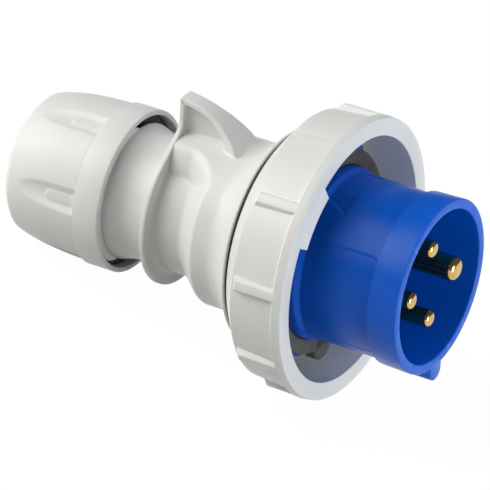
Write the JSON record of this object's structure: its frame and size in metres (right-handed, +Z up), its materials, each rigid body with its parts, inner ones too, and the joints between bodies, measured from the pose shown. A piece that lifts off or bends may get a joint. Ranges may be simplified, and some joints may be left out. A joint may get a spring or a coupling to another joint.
{
  "type": "industrial pin and sleeve plug",
  "caption": "Industrial pin and sleeve plug: keyed blue shroud with brass pins, ribbed bayonet collar, waisted housing with finger fin, and cable gland.",
  "frame": {"origin": "on the ground under the middle of the part's bounding box, lying on two collar ribs and the gland nut", "axes": "+X towards the pins, level; the plug's axis rises 12.5 degrees from it towards the pins; +Z up; +Y to the left of +X"},
  "size_m": [0.1352, 0.081, 0.0802],
  "materials": {
    "shell_grey": "satin",
    "shroud_blue": "satin",
    "gasket_rubber": "matte",
    "black_rubber": "matte",
    "inner_plastic": "matte",
    "pin_brass": "polished",
    "screw_steel": "zinc plated"
  },
  "bodies": {
    "body": {"housing": "shell_grey", "shroud_insert": "shroud_blue", "flange_gasket": "gasket_rubber", "housing_seal": "gasket_rubber", "nut_seal": "black_rubber", "rim_seal": "black_rubber", "pin_retainer": "inner_plastic", "retainer_screws": "screw_steel", "cable_clamp": "inner_plastic", "cable_grommet": "black_rubber", "pin_earth": "pin_brass", "terminal_screw_earth": "screw_steel", "pin_line_1": "pin_brass", "terminal_screw_line_1": "screw_steel", "pin_line_2": "pin_brass", "terminal_screw_line_2": "screw_steel", "pin_line_3": "pin_brass", "terminal_screw_line_3": "screw_steel"},
    "collar": {"bayonet_collar": "shell_grey"},
    "washer": {"slip_washer": "inner_plastic"},
    "nut": {"gland_nut": "shell_grey"}
  },
  "joints": [
    {"name": "collar_turn", "type": "hinge", "parent": "body", "child": "collar", "pos_m": [0.01234, 0, 0.036], "axis": [0.9764, 0, 0.2161], "range_deg": [0, 45]},
    {"name": "gland_slide", "type": "slide", "parent": "body", "child": "washer", "axis": [0.9764, 0, 0.2161], "range_m": [-0.0076, 0]},
    {"name": "gland_turn", "type": "hinge", "parent": "washer", "child": "nut", "pos_m": [-0.0315, 0, 0.0263], "axis": [0.9764, 0, 0.2161], "range_deg": [-900, 0]}
  ],
  "couplings": [
    {"joint": "gland_slide", "follows": "gland_turn", "m_per_rad": 0.00047746}
  ]
}
